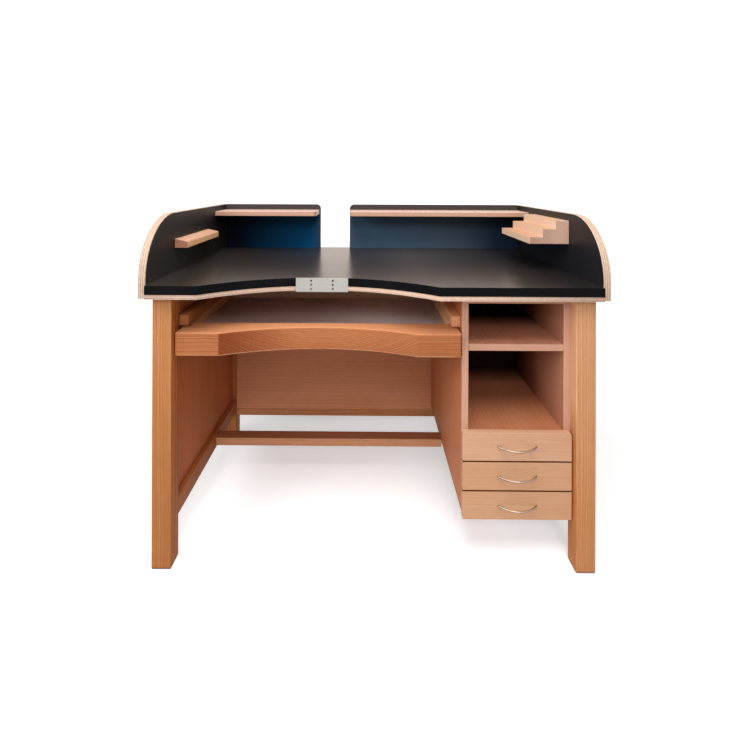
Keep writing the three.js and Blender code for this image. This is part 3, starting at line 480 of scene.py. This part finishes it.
def tubeFaces(rings, count):  # a cap at each end, and quads from ring to ring
    ring, place = np.meshgrid(np.arange(rings - 1), np.arange(count), indexing="ij")
    beside = (place + 1) % count
    quads = np.stack([ring * count + place, ring * count + beside,
                      (ring + 1) * count + beside, (ring + 1) * count + place], -1).reshape(-1, 4)
    caps = [np.arange(count)[::-1], np.arange(count) + (rings - 1) * count]
    return [face.tolist() for face in (*caps, *quads)]


def addPiece(name, spots, faces):
    mesh = bpy.data.meshes.new(name)
    mesh.from_pydata(spots.reshape(-1, 3), [], faces, shade_flat=False)
    piece = bpy.data.objects.new(name, mesh)
    scene.collection.objects.link(piece)
    return piece


# A slab: its outline is carried along an axis, drawn in by edge * (1 - sin t) and lifted by
# edge * (1 - cos t) over a quarter turn t at each end, so that its arrises are round.
def roundedSlab(name, outline, axis, low, high, edge, steps=4):
    turned = np.roll(outline, -1, 0)
    if np.sum(outline[:, 0] * turned[:, 1] - outline[:, 1] * turned[:, 0]) < 0:
        outline = outline[::-1]
    unit, stretched = outwards(outline)
    t = np.linspace(0, math.pi / 2, steps + 1)
    inset = edge * (1 - np.sin(np.concatenate([t, t[::-1]])))
    lift = np.concatenate([low + edge * (1 - np.cos(t)), high - edge * (1 - np.cos(t[::-1]))])
    flat = np.sin(np.concatenate([t, t[::-1]]))
    tip = np.concatenate([-np.cos(t), np.cos(t[::-1])])
    rings, count = len(inset), len(outline)
    plane = outline[None] - inset[:, None, None] * stretched[None]
    facing = flat[:, None, None] * unit[None]
    order = {"x": (1, 2, 0), "y": (0, 2, 1), "z": (0, 1, 2)}[axis]
    spots = np.empty((rings, count, 3))
    normals = np.empty((rings, count, 3))
    spots[..., order[0]], spots[..., order[1]] = plane[..., 0], plane[..., 1]
    spots[..., order[2]] = lift[:, None]
    normals[..., order[0]], normals[..., order[1]] = facing[..., 0], facing[..., 1]
    normals[..., order[2]] = tip[:, None]
    faces = tubeFaces(rings, count)
    if axis == "y":  # outline in x and z, which runs the other way round y
        faces = [face[::-1] for face in faces]
    piece = addPiece(name, spots, faces)
    piece.data.normals_split_custom_set_from_vertices(normals.reshape(-1, 3))
    return piece


def finishPiece(piece, body, node, slot, *slotFinishes):
    for finish in slotFinishes:
        piece.data.materials.append(finishes[finish])
    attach(piece, body)
    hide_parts(node)


def edgeFinish(piece, farFinish=0):  # the near flat face has the first finish, the edges the second
    index = np.ones(len(piece.data.polygons), np.int32)
    index[:2] = 0, farFinish
    piece.data.polygons.foreach_set("material_index", index)


def boxOf(node):
    low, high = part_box(node)
    return np.array(low), np.array(high)


# posts
post = {"edgeMm": 4, "endMm": 6}


def makePosts():
    for place in ("front_left", "front_right", "rear_left", "rear_right"):
        node = f"post_{place}"
        low, high = boxOf(node)
        edge = post["edgeMm"] * mm
        outline = roundCorners([(low[0], low[1], edge), (high[0], low[1], edge),
                                (high[0], high[1], edge), (low[0], high[1], edge)])
        piece = roundedSlab(f"beech_{node}", outline, "z", low[2], high[2], post["endMm"] * mm)
        finishPiece(piece, "bench", node, "beech_solid", "postLeftZ" if "left" in place else "postRightZ")


makePosts()


# worktop layers: straight front with a round cut, eased where it starts, and a flat seat for the pin plate
worktop = {"cutSpanMm": 744, "cutDepthMm": 125, "easeMm": 8, "seatGapMm": 0.3, "arcSteps": 40, "easeSteps": 8}
layers = {
    "worktop_underlay": {"edgeMm": 0.8, "slot": "birch_ply", "finish": ("underPly", "underPly")},
    "worktop_board": {"edgeMm": 1.0, "slot": "black_board", "finish": ("boardEdge", "boardEdge")},
    "worktop_lining": {"edgeMm": 0.9, "slot": "black_lining", "finish": ("lining", "boardEdge")},
}


# The cut is a circle through its deepest point and its two ends; each end is eased by a curve that leaves the
# straight edge and meets the circle, both along their tangents.
def cutCurve(middleX, frontY, seatHalf, seatY):
    half = worktop["cutSpanMm"] * mm / 2
    depth = worktop["cutDepthMm"] * mm
    ease = worktop["easeMm"] * mm
    radius = (half ** 2 + depth ** 2) / (2 * depth)
    centreY = frontY + depth - radius
    last = math.asin(half / radius) - ease / radius
    angles = np.linspace(last, math.asin(seatHalf / radius), worktop["arcSteps"])
    arc = np.stack([-radius * np.sin(angles), centreY + radius * np.cos(angles)], 1)
    t = np.linspace(0, 1, worktop["easeSteps"], endpoint=False)[:, None]
    corners = np.array([(-half - ease, frontY), (-half, frontY), arc[0]])
    eased = (1 - t) ** 2 * corners[0] + 2 * t * (1 - t) * corners[1] + t ** 2 * corners[2]
    left = np.vstack([eased, arc, [(-seatHalf, seatY)]])
    right = left[::-1] * (-1, 1)
    return np.vstack([left, right]) + (middleX, 0)


def makeWorktop():
    plateLow, plateHigh = boxOf("pin_plate")
    middleX = (plateLow[0] + plateHigh[0]) / 2
    seatHalf = (plateHigh[0] - plateLow[0]) / 2 + worktop["seatGapMm"] * mm
    for node, layer in layers.items():
        low, high = boxOf(node)
        curve = cutCurve(middleX, low[1], seatHalf, plateHigh[1])
        backEdge = [(high[0], high[1]), (low[0], high[1])]
        if node == "worktop_lining":  # cut round the back boards
            leftLow, leftHigh = boxOf("back_board_left")
            rightLow = boxOf("back_board_right")[0]
            backEdge = [(high[0], leftLow[1]), (rightLow[0], leftLow[1]), (rightLow[0], high[1]),
                        (leftHigh[0], high[1]), (leftHigh[0], leftLow[1]), (low[0], leftLow[1])]
        outline = np.vstack([[(low[0], low[1])], curve, [(high[0], low[1])], backEdge])
        piece = roundedSlab(f"{node}_layer", outline, "z", low[2], high[2], layer["edgeMm"] * mm)
        finishPiece(piece, "bench", node, layer["slot"], *layer["finish"])
        edgeFinish(piece)


makeWorktop()


# wings and back boards: plywood with a laminate face
upstand = {"wingCornerMm": 200, "boardCornerMm": 20, "smallCornerMm": 1.5, "edgeMm": 1.0, "wingSteps": 24,
           "boardSteps": 8}


def makeUpstand():
    edge = upstand["edgeMm"] * mm
    small = upstand["smallCornerMm"] * mm
    for side in ("left", "right"):
        low, high = boxOf(f"wing_{side}")
        outline = roundCorners([(low[1], low[2], small), (high[1], low[2], small), (high[1], high[2], small),
                                (low[1], high[2], upstand["wingCornerMm"] * mm)], upstand["wingSteps"])
        piece = roundedSlab(f"ply_wing_{side}", outline, "x", low[0], high[0], edge)
        finishPiece(piece, "bench", f"wing_{side}", "black_faced_ply",
                    "wingLeft" if side == "left" else "wingRight", "wingPly")
        edgeFinish(piece)
        low, high = boxOf(f"back_board_{side}")
        atGap = [upstand["boardCornerMm"] * mm, small]
        upRight, upLeft = atGap if side == "left" else atGap[::-1]
        outline = roundCorners([(low[0], low[2], small), (high[0], low[2], small),
                                (high[0], high[2], upRight), (low[0], high[2], upLeft)],
                               upstand["boardSteps"])
        piece = roundedSlab(f"ply_back_board_{side}", outline, "y", low[1], high[1], edge)
        finishPiece(piece, "bench", f"back_board_{side}", "black_faced_ply",
                    "boardLeft" if side == "left" else "boardRight", "backPly", "boardRear")
        edgeFinish(piece, 2)


makeUpstand()


# shelves with one round corner at the gap
shelf = {"cornerMm": 15, "smallCornerMm": 2.08, "edgeMm": 1.6, "cornerSteps": 8}


def makeShelves():
    edge = shelf["edgeMm"] * mm
    small = shelf["smallCornerMm"] * mm
    for side in ("left", "right"):
        node = f"shelf_{side}"
        low, high = boxOf(node)
        atGap = [small, shelf["cornerMm"] * mm]
        frontLeft, frontRight = atGap if side == "left" else atGap[::-1]
        outline = roundCorners([(low[0], low[1], frontLeft), (high[0], low[1], frontRight),
                                (high[0], high[1], small), (low[0], high[1], small)], shelf["cornerSteps"])
        piece = roundedSlab(f"beech_{node}", outline, "z", low[2], high[2], edge)
        finishPiece(piece, "bench", node, "beech_front", "shelfX")


makeShelves()


# sloped rest: a slightly crowned top that meets the inner face at an edge
slopedRest = {"innerMm": 21, "crownMm": 2.4, "edgeMm": 0.8, "cornerMm": 0.9, "crownSteps": 10}


# The crown is a curve with one control point: (1 - t)^2 start + 2 t (1 - t) control + t^2 end.
def makeSlopedRest():
    low, high = boxOf("tool_rest_sloped")
    corner = slopedRest["cornerMm"] * mm
    innerTop = low[2] + slopedRest["innerMm"] * mm
    corners = roundCorners([(low[0], low[2], corner), (high[0], low[2], corner),
                            (high[0], innerTop, corner), (low[0], high[2], corner)])
    perCorner = len(corners) // 4
    start, end = corners[3 * perCorner - 1], corners[3 * perCorner]
    control = (start + end) / 2 + (0, slopedRest["crownMm"] * mm)
    t = np.linspace(0, 1, slopedRest["crownSteps"] + 2)[1:-1, None]
    crown = (1 - t) ** 2 * start + 2 * t * (1 - t) * control + t ** 2 * end
    outline = np.vstack([corners[:3 * perCorner], crown, corners[3 * perCorner:]])
    piece = roundedSlab("beech_tool_rest_sloped", outline, "y", low[1], high[1], slopedRest["edgeMm"] * mm)
    finishPiece(piece, "bench", "tool_rest_sloped", "beech_front", "slopedRestY")


makeSlopedRest()


# tray front: a thick block whose face is hollowed on a circle
trayFront = {"hollowSpanMm": 632, "hollowDepthMm": 62, "edgeMm": 5, "cornerMm": 8, "easeMm": 3,
             "arcSteps": 48, "easeSteps": 8, "edgeSteps": 5}


# The hollow is eased into the straight face as the worktop's cut is.
def makeTrayFront():
    low, high = boxOf("tray_front")
    middleX = (low[0] + high[0]) / 2
    half = trayFront["hollowSpanMm"] * mm / 2
    depth = trayFront["hollowDepthMm"] * mm
    ease = trayFront["easeMm"] * mm
    radius = (half ** 2 + depth ** 2) / (2 * depth)
    last = math.asin(half / radius) - ease / radius
    angles = np.linspace(last, -last, trayFront["arcSteps"])
    arc = np.stack([-radius * np.sin(angles), low[1] + depth - radius + radius * np.cos(angles)], 1)
    t = np.linspace(0, 1, trayFront["easeSteps"], endpoint=False)[:, None]
    eased = (1 - t) ** 2 * (-half - ease, low[1]) + 2 * t * (1 - t) * (-half, low[1]) + t ** 2 * arc[0]
    curve = np.vstack([eased, arc, eased[::-1] * (-1, 1)]) + (middleX, 0)
    corner = trayFront["cornerMm"] * mm
    ends = roundCorners([(low[0], low[1], corner), (high[0], low[1], corner),
                         (high[0], high[1], corner), (low[0], high[1], corner)])
    perCorner = len(ends) // 4
    outline = np.vstack([ends[:perCorner], curve, ends[perCorner:]])
    piece = roundedSlab("beech_tray_front", outline, "z", low[2], high[2], trayFront["edgeMm"] * mm,
                        trayFront["edgeSteps"])
    finishPiece(piece, "tray", "tray_front", "beech_solid", "trayX")


makeTrayFront()


# drawer fronts, the top one with round upper corners, and bow handles
drawer = {"edgeMm": 1.0, "topCornerMm": 7, "smallCornerMm": 1.3}
handle = {"rodMm": 5, "bowMm": 27, "spanMm": 121, "seatMm": 0.3, "alongSteps": 48, "roundSteps": 16}


def makeDrawerFronts():
    edge = drawer["edgeMm"] * mm
    small = drawer["smallCornerMm"] * mm
    for n in (1, 2, 3):
        node = f"drawer_{n}_front"
        low, high = boxOf(node)
        upper = drawer["topCornerMm"] * mm if n == 1 else small
        outline = roundCorners([(low[0], low[2], small), (high[0], low[2], small),
                                (high[0], high[2], upper), (low[0], high[2], upper)])
        piece = roundedSlab(f"beech_{node}", outline, "y", low[1], high[1], edge)
        finishPiece(piece, f"drawer_{n}", node, "beech_front", "frontX" if n == 1 else "lowFrontX")


# Rod on a level arc: a circle of the rod's radius carried round the arc; at each angle round the rod the
# sweep stops where that line meets the drawer's face, so that both ends sit flat on it.
def makeHandles():
    rod = handle["rodMm"] * mm / 2
    bow = handle["bowMm"] * mm
    half = handle["spanMm"] * mm / 2
    radius = (half ** 2 + bow ** 2) / (2 * bow)
    along = handle["alongSteps"]
    count = handle["roundSteps"]
    around = np.linspace(0, 2 * math.pi, count, endpoint=False)[None, :]
    share = np.linspace(-1, 1, along)[:, None]
    reach = radius + rod * np.cos(around)
    angle = share * np.arccos((radius - bow + handle["seatMm"] * mm) / reach)
    for n in (1, 2, 3):
        faceY = boxOf(f"drawer_{n}_front")[0][1]
        handleLow, handleHigh = boxOf(f"drawer_{n}_handle")
        middle = (handleLow + handleHigh) / 2
        spots = np.stack([middle[0] + reach * np.sin(angle),
                          faceY - (bow - radius + reach * np.cos(angle)),
                          middle[2] + np.broadcast_to(rod * np.sin(around), angle.shape)], -1)
        piece = addPiece(f"nickel_bow_handle_{n}", spots, tubeFaces(along, count))
        finishPiece(piece, f"drawer_{n}", f"drawer_{n}_handle", "satin_nickel", "nickel")


makeDrawerFronts()
makeHandles()


# studio: pale floor, white background, soft lamps
studio = {"floorM": 14, "floorTone": "#E7E7E7", "floorGlow": 0.45, "whiteFromM": 2.4, "worldLight": 0.01,
          "worldSeen": 1.5, "mirroredTone": "#FFF0E6", "aim": (0.0, 0.0, 0.6)}
lamps = {
    "left": {"place": (-3.1, -1.8, 2.15), "sizeM": (2.2, 1.4), "watts": 66},
    "front": {"place": (0.1, -3.6, 2.7), "sizeM": (1.8, 1.0), "watts": 47},
    "low": {"place": (0.0, -4.0, 0.9), "sizeM": (1.4, 1.2), "watts": 6},
    "high": {"place": (0.1, -1.9, 3.5), "sizeM": (2.4, 1.4), "watts": 88},
    "top": {"place": (0.1, -0.4, 3.4), "sizeM": (2.4, 1.4), "watts": 38},
    "back": {"place": (3.2, 2.6, 2.0), "sizeM": (2.0, 1.4), "watts": 26},
}


def addLamps():
    for name, lamp in lamps.items():
        data = bpy.data.lights.new(f"lamp_{name}", "AREA")
        data.shape = "RECTANGLE"
        data.size, data.size_y = lamp["sizeM"]
        data.energy = lamp["watts"]
        light = bpy.data.objects.new(f"lamp_{name}", data)
        light.location = lamp["place"]
        toAim = Vector(studio["aim"]) - Vector(lamp["place"])
        light.rotation_euler = toAim.to_track_quat("-Z", "Y").to_euler()
        scene.collection.objects.link(light)


def raysSeen(tree):  # one for rays that reach the eye, straight or by way of metal and glass
    path = addNode(tree, "LightPath")
    seen = addNode(tree, "Math", {"operation": "MAXIMUM"},
                   {0: path.outputs["Is Camera Ray"], 1: path.outputs["Is Glossy Ray"]})
    shown = addNode(tree, "Math", {"operation": "MAXIMUM"},
                    {0: seen.outputs[0], 1: path.outputs["Is Transmission Ray"]})
    return path, shown


def addWorld():  # a background brighter than white, to the eye and in reflections, and dim as light
    world = bpy.data.worlds.new("studio")
    world.use_nodes = True
    tree = world.node_tree
    tree.nodes.clear()
    path, shown = raysSeen(tree)
    level = addNode(tree, "MapRange", {"To Min": studio["worldLight"], "To Max": studio["worldSeen"]},
                    {"Value": shown.outputs[0]})
    mirrored = linearColor(studio["mirroredTone"])
    tone = addNode(tree, "Mix", {"data_type": "RGBA", 6: (1, 1, 1, 1), 7: mirrored},
                   {0: path.outputs["Is Glossy Ray"]})
    light = addNode(tree, "Background", links={"Color": tone.outputs[2], "Strength": level.outputs[0]})
    addNode(tree, "OutputWorld", links={"Surface": light.outputs[0]})
    scene.world = world


def addFloor():  # the lit floor keeps the shadow; a share of white is added where it is seen
    size = studio["floorM"] / 2
    mesh = bpy.data.meshes.new("studio_floor")
    corners = [(-size, -size, 0), (size, -size, 0), (size, size, 0), (-size, size, 0)]
    mesh.from_pydata(corners, [], [(0, 1, 2, 3)])
    floor = bpy.data.objects.new("studio_floor", mesh)
    scene.collection.objects.link(floor)
    material = bpy.data.materials.new("studio_floor_paper")
    material.use_nodes = True
    tree = material.node_tree
    tree.nodes.clear()
    shown = raysSeen(tree)[1]
    lit = addNode(tree, "BsdfDiffuse", {"Color": linearColor(studio["floorTone"])})
    coords = addNode(tree, "TexCoord").outputs["Object"]
    away = addNode(tree, "VectorMath", {"operation": "LENGTH"}, {0: coords})
    share = addNode(tree, "MapRange", {"From Min": studio["whiteFromM"] / 2, "From Max": studio["whiteFromM"],
                                       "To Min": studio["floorGlow"], "To Max": 1.0},
                    {"Value": away.outputs["Value"]})
    level = addNode(tree, "Math", {"operation": "MULTIPLY"}, {0: share.outputs[0], 1: shown.outputs[0]})
    glow = addNode(tree, "Emission", {"Color": (1, 1, 1, 1)}, {"Strength": level.outputs[0]})
    both = addNode(tree, "AddShader", links={0: lit.outputs[0], 1: glow.outputs[0]})
    addNode(tree, "OutputMaterial", links={"Surface": both.outputs[0]})
    mesh.materials.append(material)


addLamps()
addWorld()
addFloor()
scene.view_settings.view_transform = "Standard"
print("studio set")
